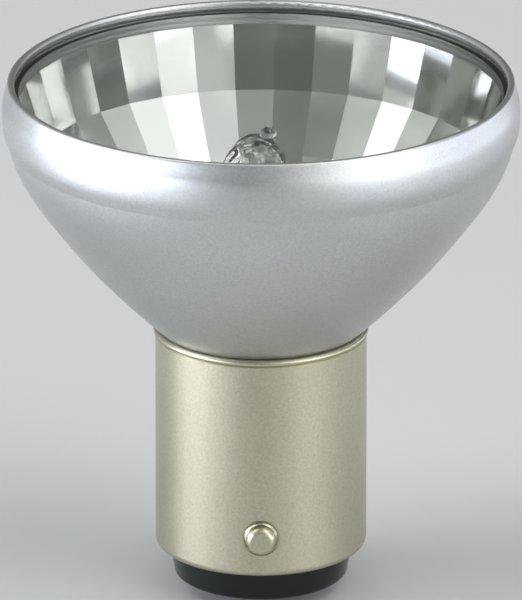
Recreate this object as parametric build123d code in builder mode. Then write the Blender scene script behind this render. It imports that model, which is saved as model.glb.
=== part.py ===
"""Low-voltage halogen reflector lamp, 37 mm across, with a 15 mm two-pin bayonet cap.

A pressed aluminium bowl, faceted inside, holds a clear front glass under its rolled lip. A quartz
capsule stands on the bowl's axis in a plug of ceramic cement, which also fixes the bowl in the cap.
Inside the cap two insulated leads run from the capsule to two soldered contacts.

Millimetres. +Z is the lamp's axis, from the contacts towards the front glass, and z = 0 is the plane
of the two contact faces. The contacts lie along X and the bayonet pins along Y.
"""

import math
import os

from build123d import *

# Cap shell
CAP_RADIUS = 7.6
SHELL_WALL = 0.3
SHELL_BOTTOM_Z = 3.3
SHELL_TOP_Z = 19.85
SHELL_CORNER = 0.5
SHELL_LIP = 0.48
BEAD_RADIUS = 0.22
BEAD_PROUD = 0.12
BEAD_GROOVE = 0.1

# Insulator and its two contacts
INSULATOR_BOTTOM_Z = 1.0
INSULATOR_TOP_Z = 4.8
INSULATOR_TAPER = 0.34
INSULATOR_EDGE = 0.4
CONTACT_OFFSET = 3.5
PLATE_RADIUS = 1.85
PLATE_THICKNESS = 0.6
PLATE_PROUD = 0.25
EYELET_RADIUS = 0.85
EYELET_BORE = 0.45
EYELET_STAND = 0.25
TIP_RADIUS = 1.5
TIP_EDGE = 0.5
SOLDER_PLUG = 0.7

# Bayonet pins
PIN_Z = 6.34
PIN_RADIUS = 1.05
PIN_PROUD = 0.95
PIN_HEAD_FILLET = 0.45
PIN_FLARE = 0.2
PIN_FLARE_RISE = 0.06
PIN_FOOT_RADIUS = 1.5
PIN_FOOT_THICKNESS = 0.6
PIN_SEAT_CLEARANCE = 0.11
PIN_SEAT_DEPTH = 0.18

# Reflector
RIM_RADIUS = 18.5
RIM_WALL = 0.6
LIP_Z = 38.4
LIP_THICKNESS = 0.28
LIP_OVERLAP = 0.3
LIP_EDGE = 0.22
SHOULDER_STEP = 0.4
SHOULDER_DROP = 4.4
BOWL_SHARES = ((0.175, 0.125), (0.35, 0.262), (0.51, 0.398), (0.655, 0.536), (0.79, 0.675), (0.91, 0.82))
BOWL_WALL = 0.62
FACET_COLUMNS = 36
FACET_TURN = 6.7
SEAT_WIDTH = 0.6
SEAT_BAND = 0.8
FACET_RING_SHARES = (0.086, 0.232, 0.448, 0.705)
FACET_NECK_DROP = 0.7
NECK_RADIUS = 5.4
NECK_WALL = 0.6
NECK_BOTTOM_Z = 13.2
BOWL_CAP_GAP = 0.04

# Front glass
GLASS_THICKNESS = 2.0
GLASS_CLEARANCE = 0.05
GLASS_CHAMFER = 0.15

# Quartz capsule, which stands a little off the lamp's axis
CAPSULE_SHIFT = -0.38
BULB_RADIUS = 2.9
BULB_WALL = 0.6
CROWN_WALL = 0.72
BULB_TOP_Z = 32.85
BULB_DOME = 4.9
BULB_SHOULDER = 2.4
TIP_OFF_RADIUS = 0.6
TIP_OFF_STAND = 0.55
TIP_OFF_SHIFT = 0.9
PINCH_TOP_Z = 20.4
PINCH_BOTTOM_Z = 12.8
PINCH_WIDTH = 5.4
PINCH_THICKNESS = 2.0

# Filament, its leads and foils
COIL_Z = 25.4
COIL_RADIUS = 0.62
COIL_LENGTH = 2.5
COIL_TURNS = 8
COIL_WIRE = 0.1
COIL_TAIL = 0.35
TAIL_WIRE = 0.12
LEAD_SPACING = 1.55
LEAD_ROD = 0.22
LEAD_STAND = 0.3
FOIL_TOP_Z = 18.0
FOIL_BOTTOM_Z = 13.8
FOIL_WIDTH = 1.7
FOIL_THICKNESS = 0.1

# Capsule pins, crimp sleeves, lead wires and their insulation
CAPSULE_PIN = 0.35
CAPSULE_PIN_END_Z = 9.9
CRIMP_RADIUS = 0.65
CRIMP_LENGTH = 2.4
CRIMP_TOP_Z = 10.9
WIRE_RADIUS = 0.3
WIRE_TOP_Z = 9.7
WIRE_BEND = 0.7
SLEEVE_WALL = 0.22
SLEEVE_CLEARANCE = 0.02
SLEEVE_TOP_GAP = 0.1
SLEEVE_BOTTOM_GAP = 0.2
BEND_TOP_DROP = 0.5
BEND_BOTTOM_RISE = 1.1

# Cement
CEMENT_BOTTOM_Z = 12.2
CEMENT_TOP_Z = 18.9

# Worked out from the sizes above
SHELL_BORE = CAP_RADIUS - SHELL_WALL
FLOOR_Z = SHELL_BOTTOM_Z + SHELL_WALL
INSULATOR_NECK_RADIUS = CAP_RADIUS - SHELL_CORNER - SHELL_LIP
INSULATOR_FOOT_RADIUS = INSULATOR_NECK_RADIUS - INSULATOR_TAPER
PIN_REACH = CAP_RADIUS + PIN_PROUD
PIN_HOLE_RADIUS = PIN_RADIUS + PIN_FLARE
PIN_SEAT_RADIUS = PIN_HOLE_RADIUS + PIN_SEAT_CLEARANCE
GLASS_SEAT_RADIUS = RIM_RADIUS - RIM_WALL
LIP_INNER_RADIUS = GLASS_SEAT_RADIUS - LIP_OVERLAP
SHOULDER_RADIUS = RIM_RADIUS - SHOULDER_STEP
SHOULDER_Z = LIP_Z - SHOULDER_DROP
GLASS_TOP_Z = LIP_Z - LIP_THICKNESS
SEAT_Z = GLASS_TOP_Z - GLASS_THICKNESS
FACET_TOP_RADIUS = GLASS_SEAT_RADIUS - SEAT_WIDTH
FACET_TOP_Z = SEAT_Z - SEAT_BAND
GLASS_RADIUS = GLASS_SEAT_RADIUS - GLASS_CLEARANCE
NECK_BORE = NECK_RADIUS - NECK_WALL
BOWL_FOOT_RADIUS = SHELL_BORE - BOWL_CAP_GAP
BULB_BORE = BULB_RADIUS - BULB_WALL
DOME_Z = BULB_TOP_Z - BULB_DOME
CRIMP_BOTTOM_Z = CRIMP_TOP_Z - CRIMP_LENGTH
SLEEVE_TOP_Z = CRIMP_BOTTOM_Z - SLEEVE_TOP_GAP
EYELET_TOP_Z = INSULATOR_TOP_Z + EYELET_STAND
SLEEVE_BOTTOM_Z = EYELET_TOP_Z + SLEEVE_BOTTOM_GAP
PLATE_BOTTOM_Z = INSULATOR_BOTTOM_Z - PLATE_PROUD
PLATE_TOP_Z = PLATE_BOTTOM_Z + PLATE_THICKNESS
WIRE_END_Z = PLATE_BOTTOM_Z + SOLDER_PLUG
SIDES = {"left": -1, "right": 1}
LEAD_X = {name: CAPSULE_SHIFT + side * LEAD_SPACING for name, side in SIDES.items()}
PIN_SIDES = {"front": -1, "rear": 1}
MARGIN = 1.0


def bowl_outline():
    """Outer radius and height of the bowl, from the cap's mouth up to the shoulder."""
    rise = SHOULDER_Z - SHELL_TOP_Z
    spread = SHOULDER_RADIUS - BOWL_FOOT_RADIUS
    points = [(BOWL_FOOT_RADIUS + spread * out, SHELL_TOP_Z + rise * up) for out, up in BOWL_SHARES]
    return [(BOWL_FOOT_RADIUS, SHELL_TOP_Z)] + points + [(SHOULDER_RADIUS, SHOULDER_Z)]


def bowl_inside(height):
    """Inner radius of the bowl at a height, one sheet thickness in from its outline."""
    points = bowl_outline()
    for low, high in zip(points, points[1:]):
        if height <= high[1]:
            break
    slope = (high[0] - low[0]) / (high[1] - low[1])
    return low[0] + slope * (height - low[1]) - BOWL_WALL * math.hypot(1, slope)


def facet_rings():
    """Corner radius and height of each ring of facets, from the neck up to the band under the glass."""
    lowest_z = CEMENT_TOP_Z - FACET_NECK_DROP
    rings = [(NECK_BORE + 0.1, lowest_z)]
    for share in FACET_RING_SHARES:
        height = SHELL_TOP_Z + share * (FACET_TOP_Z - SHELL_TOP_Z)
        rings.append((bowl_inside(height), height))
    return rings + [(FACET_TOP_RADIUS, FACET_TOP_Z)]


def dome_points(radius, base_z, rise):
    """Points of a quarter oval, from its crown on the axis out to its foot; a negative rise hangs down."""
    turns = [math.radians(turn) for turn in (62, 35, 0)]
    sides = [(radius * math.cos(turn), base_z + rise * math.sin(turn)) for turn in turns]
    return [(0, base_z + rise)] + sides


# Reflector: the outer form is turned, and the faceted inside is taken out of it
bowl_points = bowl_outline()
with BuildPart() as reflector:
    with BuildSketch(Plane.XZ):
        with BuildLine():
            Line((0, NECK_BOTTOM_Z), (NECK_RADIUS, NECK_BOTTOM_Z))
            foot_slope = (bowl_points[1][0] - bowl_points[0][0]) / (bowl_points[1][1] - bowl_points[0][1])
            neck_top_z = SHELL_TOP_Z - (BOWL_FOOT_RADIUS - NECK_RADIUS) / foot_slope
            Line((NECK_RADIUS, NECK_BOTTOM_Z), (NECK_RADIUS, neck_top_z))
            Line((NECK_RADIUS, neck_top_z), bowl_points[0])
            bowl_side = Spline(bowl_points)
            Spline(
                bowl_side @ 1,
                (RIM_RADIUS - 0.2 * SHOULDER_STEP, SHOULDER_Z + 0.2 * SHOULDER_DROP),
                (RIM_RADIUS, SHOULDER_Z + 0.45 * SHOULDER_DROP),
                (RIM_RADIUS - 0.35 * SHOULDER_STEP, LIP_Z - 0.27 * SHOULDER_DROP),
                (RIM_RADIUS - 0.92 * SHOULDER_STEP, LIP_Z - 0.09 * SHOULDER_DROP),
                (LIP_INNER_RADIUS + LIP_EDGE, LIP_Z),
                tangents=((0.42, 1.0), (-1.0, 0.0)),
            )
            RadiusArc((LIP_INNER_RADIUS + LIP_EDGE, LIP_Z), (LIP_INNER_RADIUS, LIP_Z - LIP_EDGE), -LIP_EDGE)
            Line((LIP_INNER_RADIUS, LIP_Z - LIP_EDGE), (LIP_INNER_RADIUS, GLASS_TOP_Z))
            Line((LIP_INNER_RADIUS, GLASS_TOP_Z), (0, GLASS_TOP_Z))
            Line((0, GLASS_TOP_Z), (0, NECK_BOTTOM_Z))
        make_face()
    revolve(axis=Axis.Z)
    with BuildSketch(Plane.XY.offset(SEAT_Z)):
        Circle(GLASS_SEAT_RADIUS)
    extrude(amount=GLASS_THICKNESS, mode=Mode.SUBTRACT)
    for ring_radius, ring_z in facet_rings():
        with BuildSketch(Plane.XY.offset(ring_z)):
            RegularPolygon(ring_radius, FACET_COLUMNS, rotation=FACET_TURN)
    loft(ruled=True, mode=Mode.SUBTRACT)
    with BuildSketch(Plane.XY.offset(FACET_TOP_Z)):
        Circle(FACET_TOP_RADIUS)
    extrude(amount=SEAT_Z - FACET_TOP_Z, mode=Mode.SUBTRACT)
    with BuildSketch(Plane.XY.offset(NECK_BOTTOM_Z)):
        Circle(NECK_BORE)
    extrude(amount=facet_rings()[0][1] - NECK_BOTTOM_Z, mode=Mode.SUBTRACT)
reflector.part.label = "reflector"

# Front glass, held between the seat and the rolled lip
with BuildPart() as cover_glass:
    with BuildSketch(Plane.XY.offset(SEAT_Z)):
        Circle(GLASS_RADIUS)
    extrude(amount=GLASS_THICKNESS)
    chamfer(cover_glass.edges().filter_by(GeomType.CIRCLE), GLASS_CHAMFER)
cover_glass.part.label = "cover_glass"

# Filament: a coil across the axis with a straight tail at each end
with BuildPart() as filament:
    pitch = COIL_LENGTH / COIL_TURNS
    coil_start = (CAPSULE_SHIFT - COIL_LENGTH / 2, 0, COIL_Z)
    coil_plane = Plane(origin=coil_start, x_dir=(0, 0, -1), z_dir=(1, 0, 0))
    coil_line = Helix(pitch, COIL_LENGTH, COIL_RADIUS, mode=Mode.PRIVATE).moved(Location(coil_plane))
    with BuildSketch(Plane(origin=coil_line @ 0, z_dir=coil_line % 0)):
        Circle(COIL_WIRE)
    sweep(path=coil_line, is_frenet=True)
    for side in SIDES.values():
        tail_start = (CAPSULE_SHIFT + side * (COIL_LENGTH / 2 - COIL_WIRE), 0, COIL_Z - COIL_RADIUS)
        with BuildSketch(Plane(origin=tail_start, z_dir=(side, 0, 0))):
            Circle(TAIL_WIRE)
        extrude(amount=COIL_TAIL + COIL_WIRE)
filament.part.label = "filament"

# Support rods that carry the coil, foils and outer pins, one of each on either side
filament_leads, foils, capsule_pins = {}, {}, {}
for name, lead_x in LEAD_X.items():
    with BuildPart() as rod:
        with BuildSketch(Plane.XY.offset(FOIL_TOP_Z)):
            with Locations((lead_x, 0)):
                Circle(LEAD_ROD)
        extrude(amount=COIL_Z - COIL_RADIUS + LEAD_STAND - FOIL_TOP_Z)
        add(filament.part, mode=Mode.SUBTRACT)
    rod.part.label = f"filament_lead_{name}"
    filament_leads[name] = rod
    with BuildPart() as foil:
        with BuildSketch(Plane.XY.offset(FOIL_BOTTOM_Z)):
            with Locations((lead_x, 0)):
                Rectangle(FOIL_WIDTH, FOIL_THICKNESS)
        extrude(amount=FOIL_TOP_Z - FOIL_BOTTOM_Z)
    foil.part.label = f"foil_{name}"
    foils[name] = foil
    with BuildPart() as pin:
        with BuildSketch(Plane.XY.offset(CAPSULE_PIN_END_Z)):
            with Locations((lead_x, 0)):
                Circle(CAPSULE_PIN)
        extrude(amount=FOIL_BOTTOM_Z - CAPSULE_PIN_END_Z)
    pin.part.label = f"capsule_pin_{name}"
    capsule_pins[name] = pin

# Quartz capsule: a blown bulb with its sealed exhaust tip, pinched flat over the foils
capsule_axis = Axis((CAPSULE_SHIFT, 0, 0), (0, 0, 1))
capsule_section = Plane(origin=(CAPSULE_SHIFT, 0, 0), x_dir=(1, 0, 0), z_dir=(0, -1, 0))
with BuildPart() as capsule_envelope:
    with BuildSketch(capsule_section):
        with BuildLine():
            Line((0, PINCH_TOP_Z - BULB_SHOULDER), (0, BULB_TOP_Z))
            Spline(dome_points(BULB_RADIUS, DOME_Z, BULB_DOME), tangents=((1, 0), (0, -1)))
            Line((BULB_RADIUS, DOME_Z), (BULB_RADIUS, PINCH_TOP_Z))
            Spline(dome_points(BULB_RADIUS, PINCH_TOP_Z, -BULB_SHOULDER), tangents=((1, 0), (0, 1)))
        make_face()
    revolve(axis=capsule_axis)
    with BuildSketch(Plane.XY.offset(DOME_Z)):
        with Locations((CAPSULE_SHIFT + TIP_OFF_SHIFT, 0)):
            Circle(TIP_OFF_RADIUS)
    extrude(amount=BULB_DOME + TIP_OFF_STAND)
    tip_edge = capsule_envelope.edges().filter_by(GeomType.CIRCLE).sort_by(Axis.Z)[-1]
    fillet(tip_edge, TIP_OFF_RADIUS * 0.75)
    with BuildSketch(Plane.XY.offset(PINCH_BOTTOM_Z)):
        with Locations((CAPSULE_SHIFT, 0)):
            RectangleRounded(PINCH_WIDTH, PINCH_THICKNESS, PINCH_THICKNESS * 0.35)
    extrude(amount=PINCH_TOP_Z - PINCH_BOTTOM_Z)
    with BuildSketch(capsule_section):
        with BuildLine():
            void_floor_z = PINCH_TOP_Z + BULB_WALL
            Line((0, void_floor_z), (0, BULB_TOP_Z - CROWN_WALL))
            Spline(dome_points(BULB_BORE, DOME_Z, BULB_DOME - CROWN_WALL), tangents=((1, 0), (0, -1)))
            Line((BULB_BORE, DOME_Z), (BULB_BORE, void_floor_z))
            Line((BULB_BORE, void_floor_z), (0, void_floor_z))
        make_face()
    revolve(axis=capsule_axis, mode=Mode.SUBTRACT)
    for name in SIDES:
        add(filament_leads[name].part, mode=Mode.SUBTRACT)
        add(foils[name].part, mode=Mode.SUBTRACT)
        add(capsule_pins[name].part, mode=Mode.SUBTRACT)
capsule_envelope.part.label = "capsule_envelope"

# Cement poured round the pinch, inside the bowl's neck and between neck and shell
with BuildPart() as cement_plug:
    with BuildSketch(Plane.XY.offset(CEMENT_BOTTOM_Z)):
        Circle(SHELL_BORE)
    extrude(amount=CEMENT_TOP_Z - CEMENT_BOTTOM_Z)
    add(reflector.part, mode=Mode.SUBTRACT)
    add(capsule_envelope.part, mode=Mode.SUBTRACT)
    for name in SIDES:
        add(capsule_pins[name].part, mode=Mode.SUBTRACT)
        add(foils[name].part, mode=Mode.SUBTRACT)
        add(filament_leads[name].part, mode=Mode.SUBTRACT)
cement_plug.part.label = "cement_plug"

# Cap shell: drawn tube with a rolled bead above and its lower edge turned in over the insulator
with BuildPart() as cap_shell:
    with BuildSketch(Plane.XZ):
        with BuildLine():
            bead_z = SHELL_TOP_Z - BEAD_RADIUS
            bead_centre = CAP_RADIUS + BEAD_PROUD - BEAD_RADIUS
            groove_z = bead_z - BEAD_RADIUS - BEAD_GROOVE
            Line((INSULATOR_NECK_RADIUS, SHELL_BOTTOM_Z), (CAP_RADIUS - SHELL_CORNER, SHELL_BOTTOM_Z))
            RadiusArc(
                (CAP_RADIUS - SHELL_CORNER, SHELL_BOTTOM_Z),
                (CAP_RADIUS, SHELL_BOTTOM_Z + SHELL_CORNER),
                -SHELL_CORNER,
            )
            Line((CAP_RADIUS, SHELL_BOTTOM_Z + SHELL_CORNER), (CAP_RADIUS, groove_z))
            Line((CAP_RADIUS, groove_z), (bead_centre, groove_z + BEAD_GROOVE))
            ThreePointArc(
                (bead_centre, bead_z - BEAD_RADIUS),
                (bead_centre + BEAD_RADIUS, bead_z),
                (bead_centre, SHELL_TOP_Z),
            )
            Line((bead_centre, SHELL_TOP_Z), (SHELL_BORE, SHELL_TOP_Z))
            Line((SHELL_BORE, SHELL_TOP_Z), (SHELL_BORE, FLOOR_Z))
            Line((SHELL_BORE, FLOOR_Z), (INSULATOR_NECK_RADIUS, FLOOR_Z))
            Line((INSULATOR_NECK_RADIUS, FLOOR_Z), (INSULATOR_NECK_RADIUS, SHELL_BOTTOM_Z))
        make_face()
    revolve(axis=Axis.Z)
    for side in PIN_SIDES.values():
        with BuildSketch(Plane(origin=(0, side * (CAP_RADIUS - PIN_SEAT_DEPTH), PIN_Z), z_dir=(0, side, 0))):
            Circle(PIN_SEAT_RADIUS)
        extrude(amount=MARGIN, mode=Mode.SUBTRACT)
        with BuildSketch(Plane(origin=(0, side * (SHELL_BORE - MARGIN), PIN_Z), z_dir=(0, side, 0))):
            Circle(PIN_HOLE_RADIUS)
        extrude(amount=2 * MARGIN, mode=Mode.SUBTRACT)
cap_shell.part.label = "cap_shell"

# Bayonet pins, riveted through the shell: each is turned, with a foot inside and a rounded head
bayonet_pins = {}
for name, side in PIN_SIDES.items():
    with BuildPart() as pin:
        foot_y = SHELL_BORE - PIN_FOOT_THICKNESS
        flare_y = CAP_RADIUS - PIN_SEAT_DEPTH
        head_y = PIN_REACH - PIN_HEAD_FILLET
        with BuildSketch(Plane(origin=(0, 0, PIN_Z), x_dir=(0, side, 0), z_dir=(1, 0, 0))):
            with BuildLine():
                Polyline(
                    (PIN_REACH, 0),
                    (foot_y, 0),
                    (foot_y, PIN_FOOT_RADIUS),
                    (SHELL_BORE, PIN_FOOT_RADIUS),
                    (SHELL_BORE, PIN_HOLE_RADIUS),
                    (flare_y, PIN_HOLE_RADIUS),
                    (CAP_RADIUS + PIN_FLARE_RISE, PIN_RADIUS),
                    (head_y, PIN_RADIUS),
                )
                RadiusArc((head_y, PIN_RADIUS), (PIN_REACH, PIN_RADIUS - PIN_HEAD_FILLET), PIN_HEAD_FILLET)
                Line((PIN_REACH, PIN_RADIUS - PIN_HEAD_FILLET), (PIN_REACH, 0))
            make_face()
        revolve(axis=Axis((0, 0, PIN_Z), (0, 1, 0)))
        add(cap_shell.part, mode=Mode.SUBTRACT)
    pin.part.label = f"bayonet_pin_{name}"
    bayonet_pins[name] = pin

# Contact eyelets, set in the insulator
eyelets = {}
for name, side in SIDES.items():
    with BuildPart() as eyelet:
        with BuildSketch(Plane.XY.offset(PLATE_BOTTOM_Z)):
            with Locations((side * CONTACT_OFFSET, 0)):
                Circle(PLATE_RADIUS)
        extrude(amount=PLATE_THICKNESS)
        with BuildSketch(Plane.XY.offset(PLATE_TOP_Z)):
            with Locations((side * CONTACT_OFFSET, 0)):
                Circle(EYELET_RADIUS)
        extrude(amount=EYELET_TOP_Z - PLATE_TOP_Z)
        with BuildSketch(Plane.XY.offset(PLATE_BOTTOM_Z)):
            with Locations((side * CONTACT_OFFSET, 0)):
                Circle(EYELET_BORE)
        extrude(amount=EYELET_TOP_Z - PLATE_BOTTOM_Z, mode=Mode.SUBTRACT)
    eyelet.part.label = f"contact_eyelet_{name}"
    eyelets[name] = eyelet

# Insulator: black glass moulded into the foot of the shell, round the eyelets
with BuildPart() as insulator:
    with BuildSketch(Plane.XZ):
        with BuildLine():
            foot_edge = INSULATOR_FOOT_RADIUS - INSULATOR_EDGE
            Line((0, INSULATOR_BOTTOM_Z), (foot_edge, INSULATOR_BOTTOM_Z))
            RadiusArc(
                (foot_edge, INSULATOR_BOTTOM_Z),
                (INSULATOR_FOOT_RADIUS, INSULATOR_BOTTOM_Z + INSULATOR_EDGE),
                -INSULATOR_EDGE,
            )
            Line(
                (INSULATOR_FOOT_RADIUS, INSULATOR_BOTTOM_Z + INSULATOR_EDGE),
                (INSULATOR_NECK_RADIUS, SHELL_BOTTOM_Z),
            )
            Line((INSULATOR_NECK_RADIUS, SHELL_BOTTOM_Z), (INSULATOR_NECK_RADIUS, FLOOR_Z))
            Line((INSULATOR_NECK_RADIUS, FLOOR_Z), (SHELL_BORE, FLOOR_Z))
            Line((SHELL_BORE, FLOOR_Z), (SHELL_BORE, INSULATOR_TOP_Z))
            Line((SHELL_BORE, INSULATOR_TOP_Z), (0, INSULATOR_TOP_Z))
            Line((0, INSULATOR_TOP_Z), (0, INSULATOR_BOTTOM_Z))
        make_face()
    revolve(axis=Axis.Z)
    for side in SIDES.values():
        with BuildSketch(Plane.XY.offset(INSULATOR_BOTTOM_Z)):
            with Locations((side * CONTACT_OFFSET, 0)):
                Circle(PLATE_RADIUS)
        extrude(amount=PLATE_TOP_Z - INSULATOR_BOTTOM_Z, mode=Mode.SUBTRACT)
        with BuildSketch(Plane.XY.offset(PLATE_TOP_Z)):
            with Locations((side * CONTACT_OFFSET, 0)):
                Circle(EYELET_RADIUS)
        extrude(amount=INSULATOR_TOP_Z - PLATE_TOP_Z, mode=Mode.SUBTRACT)
insulator.part.label = "insulator"

# Solder tips: a low dome with a flat end under each plate, and the plug that runs up its bore
solder_tips = {}
for name, side in SIDES.items():
    with BuildPart() as tip:
        with BuildSketch(Plane.XY):
            with Locations((side * CONTACT_OFFSET, 0)):
                Circle(TIP_RADIUS)
        extrude(amount=PLATE_BOTTOM_Z)
        fillet(tip.edges().filter_by(GeomType.CIRCLE).sort_by(Axis.Z)[0], TIP_EDGE)
        with BuildSketch(Plane.XY.offset(PLATE_BOTTOM_Z)):
            with Locations((side * CONTACT_OFFSET, 0)):
                Circle(EYELET_BORE)
        extrude(amount=SOLDER_PLUG)
    tip.part.label = f"solder_tip_{name}"
    solder_tips[name] = tip

# Crimp sleeves, lead wires and the sleeving over their bends
crimps, lead_wires, sleevings = {}, {}, {}
for name, side in SIDES.items():
    lead_x = LEAD_X[name]
    with BuildPart() as crimp:
        with BuildSketch(Plane.XY.offset(CRIMP_BOTTOM_Z)):
            with Locations((lead_x, 0)):
                Circle(CRIMP_RADIUS)
        extrude(amount=CRIMP_LENGTH)
        with BuildSketch(Plane.XY.offset(CAPSULE_PIN_END_Z)):
            with Locations((lead_x, 0)):
                Circle(CAPSULE_PIN)
        extrude(amount=CRIMP_TOP_Z - CAPSULE_PIN_END_Z, mode=Mode.SUBTRACT)
        with BuildSketch(Plane.XY.offset(CRIMP_BOTTOM_Z)):
            with Locations((lead_x, 0)):
                Circle(WIRE_RADIUS)
        extrude(amount=WIRE_TOP_Z - CRIMP_BOTTOM_Z, mode=Mode.SUBTRACT)
    crimp.part.label = f"crimp_sleeve_{name}"
    crimps[name] = crimp
    bend_points = [
        (lead_x, 0, SLEEVE_TOP_Z),
        (lead_x, 0, SLEEVE_TOP_Z - BEND_TOP_DROP),
        (side * CONTACT_OFFSET, 0, SLEEVE_BOTTOM_Z + BEND_BOTTOM_RISE),
        (side * CONTACT_OFFSET, 0, SLEEVE_BOTTOM_Z),
    ]
    bend = FilletPolyline(*bend_points, radius=WIRE_BEND)
    with BuildPart() as wire:
        with BuildSketch(Plane.XY.offset(SLEEVE_TOP_Z)):
            with Locations((lead_x, 0)):
                Circle(WIRE_RADIUS)
        extrude(amount=WIRE_TOP_Z - SLEEVE_TOP_Z)
        with BuildSketch(Plane(origin=bend @ 0, z_dir=bend % 0)):
            Circle(WIRE_RADIUS)
        sweep(path=bend)
        with BuildSketch(Plane.XY.offset(WIRE_END_Z)):
            with Locations((side * CONTACT_OFFSET, 0)):
                Circle(WIRE_RADIUS)
        extrude(amount=SLEEVE_BOTTOM_Z - WIRE_END_Z)
    wire.part.label = f"lead_wire_{name}"
    lead_wires[name] = wire
    with BuildPart() as sleeving:
        with BuildSketch(Plane(origin=bend @ 0, z_dir=bend % 0)):
            Circle(WIRE_RADIUS + SLEEVE_CLEARANCE + SLEEVE_WALL)
            Circle(WIRE_RADIUS + SLEEVE_CLEARANCE, mode=Mode.SUBTRACT)
        sweep(path=bend)
    sleeving.part.label = f"insulating_sleeve_{name}"
    sleevings[name] = sleeving

# Write every piece
os.makedirs("parts", exist_ok=True)
pieces = [reflector, cover_glass, capsule_envelope, filament, cement_plug, cap_shell, insulator]
pairs = (filament_leads, foils, capsule_pins, crimps, lead_wires, sleevings)
pairs += (eyelets, solder_tips, bayonet_pins)
for group in pairs:
    pieces.extend(group.values())
for piece in pieces:
    export_step(piece.part, f"parts/{piece.part.label}.step")
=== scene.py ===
import math

import bpy
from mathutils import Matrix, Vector


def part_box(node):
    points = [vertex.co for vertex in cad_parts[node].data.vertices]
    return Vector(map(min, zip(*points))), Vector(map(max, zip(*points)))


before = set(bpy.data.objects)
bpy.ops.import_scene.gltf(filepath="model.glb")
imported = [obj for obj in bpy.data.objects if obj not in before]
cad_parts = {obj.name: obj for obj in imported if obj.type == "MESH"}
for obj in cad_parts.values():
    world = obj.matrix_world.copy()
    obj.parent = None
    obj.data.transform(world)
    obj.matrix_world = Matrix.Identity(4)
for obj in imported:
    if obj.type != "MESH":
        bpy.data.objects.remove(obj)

bl_info = {
    "name": "Reflector Bulb",
    "version": (1, 0, 0),
    "blender": (4, 5, 0),
    "location": "3D View > Sidebar > Reflector Bulb",
    "description": "Finishes a small reflector lamp and sets it on a pale studio floor",
    "category": "Object",
}

# First socket, second socket and result of a Mix node, by the kind of value that it mixes
MIX_SOCKETS = {"FLOAT": (2, 3, 0), "RGBA": (6, 7, 2)}

# Noise values between which the grain, and the clouds in a colour, go from none to full
GRAIN_SPREAD = (0.35, 0.65)
CLOUD_SPREAD = (0.35, 0.7)
CLOUD_DETAIL = 3.0

# Specks in the metals' colours: how light and how dark they make it, their scale and their amount
SPECK_LIGHT = 1.05
SPECK_DARK = 0.75
SPECK_SCALE = 6000.0
SPECK_AMOUNT = 0.6

# Reflector: height in metres of the plain band between facets and glass, how far a surface has to
# face the axis to be the bowl's inside, how unevenly the facets are polished, and their flat height
SEAT_BAND = 0.0008
FACING_LIMIT = -0.02
FACET_UNEVENNESS = 0.02
FLAT_HEIGHT = 0.5

# Front glass: upward share of a surface's direction on the disc's faces and on its side, and the
# roughness of that ground side
DISC_FACE = 0.99
DISC_SIDE = 0.5
GROUND_EDGE = 0.5

# Quartz: the waves in its dome start and are full at these distances below its top, in metres, and
# a small share of them goes on down its side
WAVES_START = 0.0065
WAVES_FULL = 0.0040
WAVES_BELOW = 0.03
WAVE_SCALE = 1500.0

# Brightness of the room's walls low down and higher up, by azimuth in degrees. The photo is taken
# from azimuth 0, and 90 is on the right
LOW_WALLS = (
    (-180, 0.15), (-152, 0.25), (-139, 0.9), (-122, 0.3), (-103, 0.4), (-98, 1.1), (-88, 1.9),
    (-66, 1.9), (-62, 0.95), (-53, 0.85), (-47, 0.36), (-33, 0.34), (-25, 0.14), (-10, 0.13),
    (1, 0.19), (11, 0.19), (17, 0.95), (24, 1.05), (30, 1.5), (34, 2.4), (62, 2.3), (72, 1.7),
    (78, 0.56), (84, 0.5), (96, 0.25), (139, 0.2), (180, 0.15))
HIGH_WALLS = (
    (-180, 0.2), (-110, 0.4), (-100, 1.0), (-91, 0.9), (-87, 2.0), (-78, 1.9), (-72, 0.8),
    (-60, 0.75), (-52, 0.3), (-38, 0.28), (-26, 0.23), (-12, 0.24), (-4, 0.45), (9, 0.48),
    (18, 1.0), (36, 1.05), (43, 2.0), (62, 2.1), (69, 1.6), (80, 1.5), (87, 0.95), (97, 0.85),
    (115, 0.3), (150, 0.2), (180, 0.2))

# Heights in degrees between which the low walls turn into the high ones, and how far dark walls
# lean to green
LOW_TO_HIGH = (20.0, 34.0)
WALL_GREEN = 0.1

# Lamps: diameter and distance of the round high ones in metres and their height in degrees, and
# the distance and colour of the low strips
HIGH_LAMP_SIZE = (0.35, 0.35)
HIGH_LAMP_DISTANCE = 0.6
HIGH_LAMP_RISE = 60.0
STRIP_DISTANCE = 0.25
STRIP_TINT = (0.92, 0.97, 1.14)

# Floor: its side in metres, and its roughness as the camera sees it, while the lamp mirrors a
# satin floor
FLOOR_SIZE = 6.0
MATTE_FLOOR = 1.0

# Camera: width of its sensor in millimetres, and how far it sees in metres
SENSOR_WIDTH = 36.0
CAMERA_REACH = 20.0


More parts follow.
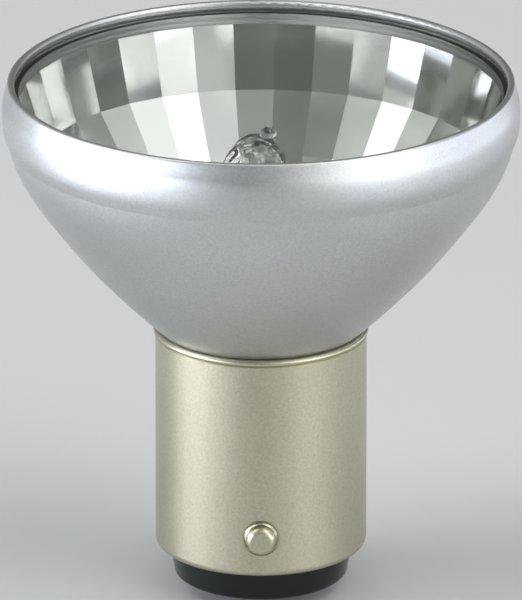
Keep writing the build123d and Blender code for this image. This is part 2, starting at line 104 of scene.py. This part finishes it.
class ReflectorBulbFinish(bpy.types.PropertyGroup):
    """Colours and finishes of the lamp's own pieces."""

    satin_tint: bpy.props.FloatVectorProperty(
        name="Satin Aluminium", description="Colour of the bowl's outside", subtype="COLOR",
        default=(0.60, 0.61, 0.605), min=0.0, max=1.0)
    mirror_tint: bpy.props.FloatVectorProperty(
        name="Mirror Aluminium", description="Colour of the facets", subtype="COLOR",
        default=(0.86, 0.87, 0.85), min=0.0, max=1.0)
    nickel_tint: bpy.props.FloatVectorProperty(
        name="Nickel", description="Colour of the cap's plating", subtype="COLOR",
        default=(0.545, 0.525, 0.39), min=0.0, max=1.0)
    glass_edge_tint: bpy.props.FloatVectorProperty(
        name="Glass Edge", description="Colour that the front glass shows at its edge",
        subtype="COLOR", default=(0.55, 0.72, 0.60), min=0.0, max=1.0)
    facet_roughness: bpy.props.FloatProperty(
        name="Facet Roughness", description="How far the facets blur what they mirror",
        subtype="FACTOR", default=0.07, min=0.0, max=1.0)


class ReflectorBulbStage(bpy.types.PropertyGroup):
    """Floor, lamps and camera round the lamp."""

    camera_distance: bpy.props.FloatProperty(
        name="Camera Distance", description="From the camera to the lamp's middle",
        unit="LENGTH", default=0.900, min=0.1)
    camera_rise: bpy.props.FloatProperty(
        name="Camera Rise", description="Camera angle above the horizon", unit="ROTATION",
        default=math.radians(20.06), min=0.0, max=math.radians(89))
    camera_focal: bpy.props.FloatProperty(
        name="Focal Length", description="Focal length in millimetres on a 36 mm sensor",
        default=752.8, min=1.0)
    aim_height: bpy.props.FloatProperty(
        name="Aim Height", description="Height of the point that the camera looks at",
        unit="LENGTH", default=0.02173, min=0.0)
    floor_tint: bpy.props.FloatVectorProperty(
        name="Floor", description="Colour of the floor", subtype="COLOR",
        default=(0.58, 0.58, 0.58), min=0.0, max=1.0)
    high_power: bpy.props.FloatProperty(
        name="High Lamps", description="Power of the two round high lamps together, in watts",
        default=1.3, min=0.0)
    left_power: bpy.props.FloatProperty(
        name="Left Strip", description="Power of the low soft strip on the left, in watts",
        default=0.40, min=0.0)
    front_power: bpy.props.FloatProperty(
        name="Front Strip", description="Power of the low soft strip at the front left, in watts",
        default=0.1, min=0.0)
    right_power: bpy.props.FloatProperty(
        name="Right Strip", description="Power of the low soft strip on the right, in watts",
        default=0.09, min=0.0)
    side_power: bpy.props.FloatProperty(
        name="Side Strip", description="Power of the low soft strip behind on the right, in watts",
        default=0.085, min=0.0)
    room_strength: bpy.props.FloatProperty(
        name="Room Light", description="Strength of the light from the room's walls",
        default=1.0, min=0.0)


def rgba(color):
    """A colour with full alpha."""
    return (*color, 1.0)


def mixed(nodes, links, share, first, second, kind="FLOAT"):
    """A value that goes from the first to the second with the share; each is a socket or a plain value."""
    mix = nodes.new("ShaderNodeMix")
    mix.data_type = kind
    links.new(share, mix.inputs["Factor"])
    *sides, result = MIX_SOCKETS[kind]
    for side, value in zip(sides, (first, second)):
        if isinstance(value, bpy.types.NodeSocket):
            links.new(value, mix.inputs[side])
        else:
            mix.inputs[side].default_value = value
    return mix.outputs[result]


def map_range(nodes, links, value, start, end):
    """A Map Range node that takes a value from 0 at the start to 1 at the end."""
    spread = nodes.new("ShaderNodeMapRange")
    spread.inputs["From Min"].default_value = start
    spread.inputs["From Max"].default_value = end
    links.new(value, spread.inputs["Value"])
    return spread


def calculate(nodes, links, operation, first, second=None):
    """Result of a Math node, whose second value is a socket or a plain number."""
    math_node = nodes.new("ShaderNodeMath")
    math_node.operation = operation
    links.new(first, math_node.inputs[0])
    if isinstance(second, bpy.types.NodeSocket):
        links.new(second, math_node.inputs[1])
    elif second is not None:
        math_node.inputs[1].default_value = second
    return math_node.outputs["Value"]


def new_group(name, inputs, outputs):
    """An empty shader node group with its sockets, and its input and output nodes."""
    group = bpy.data.node_groups.new(name, "ShaderNodeTree")
    for label, kind, value in inputs:
        group.interface.new_socket(label, in_out="INPUT", socket_type=kind).default_value = value
    for label, kind in outputs:
        group.interface.new_socket(label, in_out="OUTPUT", socket_type=kind)
    return group, group.nodes.new("NodeGroupInput"), group.nodes.new("NodeGroupOutput")


def grain_group():
    """Fine random grain: a roughness between two limits, and a height for bump."""
    group, source, result = new_group(
        "Fine Grain",
        [("Scale", "NodeSocketFloat", 1500.0), ("Smoothest", "NodeSocketFloat", 0.25),
         ("Roughest", "NodeSocketFloat", 0.4), ("Detail", "NodeSocketFloat", 4.0)],
        [("Roughness", "NodeSocketFloat"), ("Height", "NodeSocketFloat")])
    nodes, links = group.nodes, group.links
    place = nodes.new("ShaderNodeTexCoord")
    noise = nodes.new("ShaderNodeTexNoise")
    spread = map_range(nodes, links, noise.outputs["Fac"], *GRAIN_SPREAD)
    links.new(place.outputs["Object"], noise.inputs["Vector"])
    links.new(source.outputs["Detail"], noise.inputs["Detail"])
    links.new(source.outputs["Scale"], noise.inputs["Scale"])
    links.new(source.outputs["Smoothest"], spread.inputs["To Min"])
    links.new(source.outputs["Roughest"], spread.inputs["To Max"])
    links.new(spread.outputs["Result"], result.inputs["Roughness"])
    links.new(noise.outputs["Fac"], result.inputs["Height"])
    return group


def clouding_group():
    """Change between two colours over a surface, as plating and handled metal show."""
    group, source, result = new_group(
        "Clouding",
        [("Color", "NodeSocketColor", rgba((0.5, 0.5, 0.5))),
         ("Cloud Color", "NodeSocketColor", rgba((0.4, 0.4, 0.4))),
         ("Scale", "NodeSocketFloat", 200.0), ("Amount", "NodeSocketFloat", 0.3)],
        [("Color", "NodeSocketColor")])
    nodes, links = group.nodes, group.links
    place = nodes.new("ShaderNodeTexCoord")
    noise = nodes.new("ShaderNodeTexNoise")
    noise.inputs["Detail"].default_value = CLOUD_DETAIL
    spread = map_range(nodes, links, noise.outputs["Fac"], *CLOUD_SPREAD)
    links.new(place.outputs["Object"], noise.inputs["Vector"])
    links.new(source.outputs["Scale"], noise.inputs["Scale"])
    links.new(source.outputs["Amount"], spread.inputs["To Max"])
    color = mixed(nodes, links, spread.outputs["Result"], source.outputs["Color"],
                  source.outputs["Cloud Color"], "RGBA")
    links.new(color, result.inputs["Color"])
    return group


def inside_group(top):
    """Mask of the bowl's facets: 1 where the surface faces the lamp's axis below a height, 0 elsewhere."""
    group, _, result = new_group("Bowl Inside", [], [("Mask", "NodeSocketFloat")])
    nodes, links = group.nodes, group.links
    place = nodes.new("ShaderNodeTexCoord")
    outward = nodes.new("ShaderNodeVectorMath")
    outward.operation = "MULTIPLY"
    outward.inputs[1].default_value = (1.0, 1.0, 0.0)
    unit = nodes.new("ShaderNodeVectorMath")
    unit.operation = "NORMALIZE"
    facing = nodes.new("ShaderNodeVectorMath")
    facing.operation = "DOT_PRODUCT"
    parts = nodes.new("ShaderNodeSeparateXYZ")
    links.new(place.outputs["Object"], outward.inputs[0])
    links.new(outward.outputs["Vector"], unit.inputs[0])
    links.new(unit.outputs["Vector"], facing.inputs[0])
    links.new(place.outputs["Normal"], facing.inputs[1])
    links.new(place.outputs["Object"], parts.inputs["Vector"])
    inward = calculate(nodes, links, "LESS_THAN", facing.outputs["Value"], FACING_LIMIT)
    below = calculate(nodes, links, "LESS_THAN", parts.outputs["Z"], top)
    links.new(calculate(nodes, links, "MULTIPLY", inward, below), result.inputs["Mask"])
    return group


def shared_group(name, build):
    """A node group that more than one material uses: built the first time, and found after that."""
    return bpy.data.node_groups.get(name) or build()


def use_group(nodes, group, **values):
    """A node group placed in a material, with its inputs set."""
    node = nodes.new("ShaderNodeGroup")
    node.node_tree = group
    for label, value in values.items():
        node.inputs[label.replace("_", " ")].default_value = value
    return node


def add_grain(nodes, **values):
    """The fine grain placed in a material."""
    return use_group(nodes, shared_group("Fine Grain", grain_group), **values)


def add_clouds(nodes, links, tint, darkest, scale, amount):
    """Colour of plated or handled metal: fine specks in the tint, and slow clouds over them."""
    clouding = shared_group("Clouding", clouding_group)
    tint = Vector(tint)
    specks = use_group(nodes, clouding, Color=rgba(tint * SPECK_LIGHT),
                       Cloud_Color=rgba(tint * SPECK_DARK), Scale=SPECK_SCALE, Amount=SPECK_AMOUNT)
    clouds = use_group(nodes, clouding, Cloud_Color=rgba(tint * darkest), Scale=scale, Amount=amount)
    links.new(specks.outputs["Color"], clouds.inputs["Color"])
    return clouds.outputs["Color"]


def add_bump(nodes, links, height, shader, strength, distance):
    """Bump from a height, fed to the shader's normal; the distance is in metres."""
    bump = nodes.new("ShaderNodeBump")
    bump.inputs["Strength"].default_value = strength
    bump.inputs["Distance"].default_value = distance
    links.new(height, bump.inputs["Height"])
    links.new(bump.outputs["Normal"], shader.inputs["Normal"])


def new_material(name, metallic=0.0, roughness=0.5, color=None):
    """A material with its Principled shader, whose plain values are set on the shader itself."""
    material = bpy.data.materials.new(name)
    material.use_nodes = True
    shader = material.node_tree.nodes["Principled BSDF"]
    shader.inputs["Metallic"].default_value = metallic
    shader.inputs["Roughness"].default_value = roughness
    if color is not None:
        shader.inputs["Base Color"].default_value = rgba(color)
    return material, material.node_tree.nodes, material.node_tree.links, shader


def new_glass(name, ior, tint):
    """A clear glass with the faint unevenness of its surface."""
    material, nodes, links, shader = new_material(name, roughness=0.0, color=tint)
    shader.inputs["Transmission Weight"].default_value = 1.0
    shader.inputs["IOR"].default_value = ior
    grain = add_grain(nodes, Scale=300.0, Smoothest=0.0, Roughest=0.012)
    return material, nodes, links, shader, grain.outputs["Roughness"]


def dress(names, material):
    """Gives CAD nodes one material in every slot."""
    for name in names:
        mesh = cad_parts[name].data
        mesh.materials.clear()
        mesh.materials.append(material)


def dress_grained(names, label, grain, bump=None, **values):
    """Gives CAD nodes a new material whose roughness and bump come from the fine grain."""
    material, nodes, links, shader = new_material(label, **values)
    texture = add_grain(nodes, **grain)
    links.new(texture.outputs["Roughness"], shader.inputs["Roughness"])
    if bump is not None:
        add_bump(nodes, links, texture.outputs["Height"], shader, **bump)
    dress(names, material)
    return nodes, links, shader


class BULB_OT_reflector(bpy.types.Operator):
    """Finish the reflector: satin outside, mirror facets inside"""

    bl_idname = "bulb.reflector"
    bl_label = "Finish Reflector"

    def execute(self, context):
        finish = context.scene.bulb_finish
        material, nodes, links, shader = new_material("Satin And Mirror Aluminium", metallic=1.0)
        grain = add_grain(nodes, Scale=9000.0, Smoothest=0.36, Roughest=0.46)
        polish = add_grain(nodes, Scale=400.0, Smoothest=finish.facet_roughness,
                           Roughest=finish.facet_roughness + FACET_UNEVENNESS)
        facet_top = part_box("cover_glass")[0][2] - SEAT_BAND
        inside = use_group(nodes, inside_group(facet_top)).outputs["Mask"]
        satin = add_clouds(nodes, links, finish.satin_tint, darkest=0.85, scale=120.0, amount=0.5)
        tint = mixed(nodes, links, inside, satin, rgba(finish.mirror_tint), "RGBA")
        rough = mixed(nodes, links, inside, grain.outputs["Roughness"], polish.outputs["Roughness"])
        height = mixed(nodes, links, inside, grain.outputs["Height"], FLAT_HEIGHT)
        links.new(tint, shader.inputs["Base Color"])
        links.new(rough, shader.inputs["Roughness"])
        add_bump(nodes, links, height, shader, strength=0.15, distance=0.00001)
        dress(["reflector"], material)
        return {"FINISHED"}


class BULB_OT_glass(bpy.types.Operator):
    """Finish the front glass and the quartz capsule"""

    bl_idname = "bulb.glass"
    bl_label = "Finish Glass"

    def execute(self, context):
        self.finish_front_glass(context.scene.bulb_finish.glass_edge_tint)
        self.finish_quartz(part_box("capsule_envelope")[1][2])
        return {"FINISHED"}

    def finish_front_glass(self, edge_tint):
        """Clear faces and a greenish ground side."""
        clear_tint = (0.975, 0.985, 0.977)
        material, nodes, links, shader, uneven = new_glass("Front Glass", ior=1.50, tint=clear_tint)
        place = nodes.new("ShaderNodeTexCoord")
        parts = nodes.new("ShaderNodeSeparateXYZ")
        links.new(place.outputs["Normal"], parts.inputs["Vector"])
        upright = calculate(nodes, links, "ABSOLUTE", parts.outputs["Z"])
        side = map_range(nodes, links, upright, DISC_FACE, DISC_SIDE).outputs["Result"]
        tint = mixed(nodes, links, side, rgba(clear_tint), rgba(edge_tint), "RGBA")
        links.new(tint, shader.inputs["Base Color"])
        links.new(mixed(nodes, links, side, uneven, GROUND_EDGE), shader.inputs["Roughness"])
        dress(["cover_glass"], material)

    def finish_quartz(self, top):
        """Clear glass whose dome is left wavy by the flame."""
        material, nodes, links, shader, uneven = new_glass("Quartz", ior=1.46, tint=(0.97, 0.97, 0.965))
        links.new(uneven, shader.inputs["Roughness"])
        waves = add_grain(nodes, Scale=WAVE_SCALE, Detail=0.0)
        place = nodes.new("ShaderNodeTexCoord")
        parts = nodes.new("ShaderNodeSeparateXYZ")
        links.new(place.outputs["Object"], parts.inputs["Vector"])
        dome = map_range(nodes, links, parts.outputs["Z"], top - WAVES_START, top - WAVES_FULL)
        dome.inputs["To Min"].default_value = WAVES_BELOW
        swell = calculate(nodes, links, "MULTIPLY", waves.outputs["Height"], dome.outputs["Result"])
        add_bump(nodes, links, swell, shader, strength=0.8, distance=0.0004)
        dress(["capsule_envelope"], material)


class BULB_OT_cap(bpy.types.Operator):
    """Finish the cap's shell, its pins and its contacts"""

    bl_idname = "bulb.cap"
    bl_label = "Finish Cap"

    def execute(self, context):
        nickel_tint = context.scene.bulb_finish.nickel_tint
        nodes, links, shader = dress_grained(
            ["cap_shell", "bayonet_pin_front", "bayonet_pin_rear"], "Satin Nickel",
            grain={"Scale": 7000.0, "Smoothest": 0.32, "Roughest": 0.40},
            bump={"strength": 0.25, "distance": 0.00001}, metallic=1.0)
        nickel = add_clouds(nodes, links, nickel_tint, darkest=0.8, scale=260.0, amount=0.2)
        links.new(nickel, shader.inputs["Base Color"])

        dress_grained(
            ["solder_tip_left", "solder_tip_right", "contact_eyelet_left", "contact_eyelet_right"],
            "Solder", grain={"Scale": 900.0, "Smoothest": 0.28, "Roughest": 0.5},
            bump={"strength": 0.4, "distance": 0.00006}, metallic=1.0, color=(0.55, 0.55, 0.54))

        _, _, shader = dress_grained(
            ["insulator"], "Black Glass",
            grain={"Scale": 500.0, "Smoothest": 0.05, "Roughest": 0.12},
            bump={"strength": 0.1, "distance": 0.00004}, color=(0.006, 0.008, 0.007))
        shader.inputs["IOR"].default_value = 1.38
        return {"FINISHED"}


class BULB_OT_burner(bpy.types.Operator):
    """Finish the filament, its leads, the cement and the wiring in the cap"""

    bl_idname = "bulb.burner"
    bl_label = "Finish Burner And Wiring"

    def execute(self, context):
        dress_grained(
            ["filament", "filament_lead_left", "filament_lead_right"], "Tungsten",
            grain={"Scale": 3000.0, "Smoothest": 0.3, "Roughest": 0.5},
            metallic=1.0, color=(0.33, 0.33, 0.34))
        dress_grained(
            ["foil_left", "foil_right", "capsule_pin_left", "capsule_pin_right",
             "crimp_sleeve_left", "crimp_sleeve_right", "lead_wire_left", "lead_wire_right"],
            "Molybdenum", grain={"Scale": 2500.0, "Smoothest": 0.25, "Roughest": 0.4},
            metallic=1.0, color=(0.5, 0.5, 0.48))
        dress_grained(
            ["cement_plug"], "Ceramic Cement",
            grain={"Scale": 1500.0, "Smoothest": 0.8, "Roughest": 0.95},
            bump={"strength": 0.6, "distance": 0.0001}, color=(0.80, 0.77, 0.70), roughness=0.9)
        dress_grained(
            ["insulating_sleeve_left", "insulating_sleeve_right"], "Glass Sleeving",
            grain={"Scale": 4000.0, "Smoothest": 0.7, "Roughest": 0.9},
            bump={"strength": 0.7, "distance": 0.00005}, color=(0.82, 0.80, 0.74), roughness=0.85)
        return {"FINISHED"}


def add_lamp(name, shape, power, size, direction, distance, target, color=(1.0, 1.0, 1.0)):
    """A soft lamp that looks at the target from a direction, given as azimuth and height in degrees."""
    turn, rise = (math.radians(angle) for angle in direction)
    away = Vector((math.sin(turn) * math.cos(rise), -math.cos(turn) * math.cos(rise), math.sin(rise)))
    light = bpy.data.lights.new(name, "AREA")
    light.shape = shape
    light.size, light.size_y = size
    light.energy = power
    light.color = color
    lamp = bpy.data.objects.new(name, light)
    lamp.location = target + away * distance
    lamp.rotation_euler = (-away).to_track_quat("-Z", "Y").to_euler()
    lamp.visible_camera = False
    bpy.context.collection.objects.link(lamp)


def wall_ramp(nodes, links, share, tones):
    """Colour round the room, by the share of a full turn."""
    walls = nodes.new("ShaderNodeValToRGB")
    stops = walls.color_ramp.elements
    while len(stops) < len(tones):
        stops.new(0.5)
    for stop, (azimuth, tone) in zip(stops, tones):
        green = WALL_GREEN * max(0.0, 1.0 - tone)
        stop.position = (azimuth + 180) / 360
        stop.color = (tone * (1.0 - green), tone, tone * (1.0 - green), 1.0)
    links.new(share, walls.inputs["Fac"])
    return walls.outputs["Color"]


def room_world(strength):
    """A room whose walls alternate between pale and dark round the lamp, low down and higher up."""
    world = bpy.data.worlds.new("Room")
    world.use_nodes = True
    nodes, links = world.node_tree.nodes, world.node_tree.links
    background = nodes["Background"]
    background.inputs["Strength"].default_value = strength
    place = nodes.new("ShaderNodeTexCoord")
    parts = nodes.new("ShaderNodeSeparateXYZ")
    links.new(place.outputs["Generated"], parts.inputs["Vector"])
    toward = calculate(nodes, links, "MULTIPLY", parts.outputs["Y"], -1.0)
    azimuth = calculate(nodes, links, "ARCTAN2", parts.outputs["X"], toward)
    share = map_range(nodes, links, azimuth, -math.pi, math.pi).outputs["Result"]
    low, high = (math.sin(math.radians(angle)) for angle in LOW_TO_HIGH)
    height = map_range(nodes, links, parts.outputs["Z"], low, high)
    height.interpolation_type = "SMOOTHSTEP"
    walls = mixed(nodes, links, height.outputs["Result"], wall_ramp(nodes, links, share, LOW_WALLS),
                  wall_ramp(nodes, links, share, HIGH_WALLS), "RGBA")
    links.new(walls, background.inputs["Color"])
    return world


class BULB_OT_stage(bpy.types.Operator):
    """Set the floor, the lamps, the room light and the camera"""

    bl_idname = "bulb.stage"
    bl_label = "Set Stage"

    def execute(self, context):
        stage = context.scene.bulb_stage
        middle = Vector((0.0, 0.0, stage.aim_height))
        self.set_floor(context, stage.floor_tint)
        for name, azimuth in (("left_lamp", -90.0), ("right_lamp", 90.0)):
            add_lamp(name, "DISK", stage.high_power / 2, HIGH_LAMP_SIZE, (azimuth, HIGH_LAMP_RISE),
                     HIGH_LAMP_DISTANCE, middle)
        for name, power, size, direction in (
            ("left_strip", stage.left_power, (0.18, 0.09), (-79.0, 5.5)),
            ("front_strip", stage.front_power, (0.12, 0.04), (-46.0, 2.0)),
            ("right_strip", stage.right_power, (0.25, 0.06), (63.0, 2.0)),
            ("side_strip", stage.side_power, (0.22, 0.07), (113.0, 3.0)),
        ):
            add_lamp(name, "RECTANGLE", power, size, direction, STRIP_DISTANCE, middle, STRIP_TINT)
        context.scene.world = room_world(stage.room_strength)
        self.set_camera(context, stage, middle)
        context.scene.view_settings.view_transform = "Standard"
        return {"FINISHED"}

    def set_floor(self, context, tint):
        """A pale floor, satin to the lamp and matte to the camera."""
        bpy.ops.mesh.primitive_plane_add(size=FLOOR_SIZE)
        floor = context.object
        floor.name = "floor"
        material, nodes, links, shader = new_material("Pale Floor", color=tint, roughness=0.42)
        shader.inputs["Specular IOR Level"].default_value = 0.4
        grain = add_grain(nodes, Scale=60.0, Smoothest=0.40, Roughest=0.46)
        seen = nodes.new("ShaderNodeLightPath").outputs["Is Camera Ray"]
        rough = mixed(nodes, links, seen, grain.outputs["Roughness"], MATTE_FLOOR)
        links.new(rough, shader.inputs["Roughness"])
        floor.data.materials.append(material)

    def set_camera(self, context, stage, target):
        """The camera at the photo's viewing angle."""
        lens = bpy.data.cameras.new("camera")
        lens.sensor_width = SENSOR_WIDTH
        lens.lens = stage.camera_focal
        lens.clip_end = CAMERA_REACH
        camera = bpy.data.objects.new("camera", lens)
        away = Vector((0.0, -math.cos(stage.camera_rise), math.sin(stage.camera_rise)))
        camera.location = target + away * stage.camera_distance
        camera.rotation_euler = (-away).to_track_quat("-Z", "Y").to_euler()
        context.collection.objects.link(camera)
        context.scene.camera = camera


class BULB_PT_panel(bpy.types.Panel):
    """Buttons and settings in the sidebar."""

    bl_idname = "BULB_PT_panel"
    bl_label = "Reflector Bulb"
    bl_space_type = "VIEW_3D"
    bl_region_type = "UI"
    bl_category = "Reflector Bulb"

    def draw(self, context):
        for operator in OPERATORS:
            self.layout.operator(operator.bl_idname)
        for settings in (context.scene.bulb_finish, context.scene.bulb_stage):
            for name in settings.bl_rna.properties.keys():
                if name not in {"rna_type", "name"}:
                    self.layout.prop(settings, name)


OPERATORS = (BULB_OT_reflector, BULB_OT_glass, BULB_OT_cap, BULB_OT_burner, BULB_OT_stage)
CLASSES = (ReflectorBulbFinish, ReflectorBulbStage, *OPERATORS, BULB_PT_panel)


def register():
    """Registers the classes and hangs the settings on the scene."""
    for cls in CLASSES:
        bpy.utils.register_class(cls)
    bpy.types.Scene.bulb_finish = bpy.props.PointerProperty(type=ReflectorBulbFinish)
    bpy.types.Scene.bulb_stage = bpy.props.PointerProperty(type=ReflectorBulbStage)


def unregister():
    """Takes the settings and the classes away again."""
    del bpy.types.Scene.bulb_stage
    del bpy.types.Scene.bulb_finish
    for cls in reversed(CLASSES):
        bpy.utils.unregister_class(cls)


def main():
    """Runs every operator in order."""
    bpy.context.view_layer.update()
    register()
    bpy.ops.bulb.reflector()
    bpy.ops.bulb.glass()
    bpy.ops.bulb.cap()
    bpy.ops.bulb.burner()
    bpy.ops.bulb.stage()


if __name__ == "__main__":
    main()
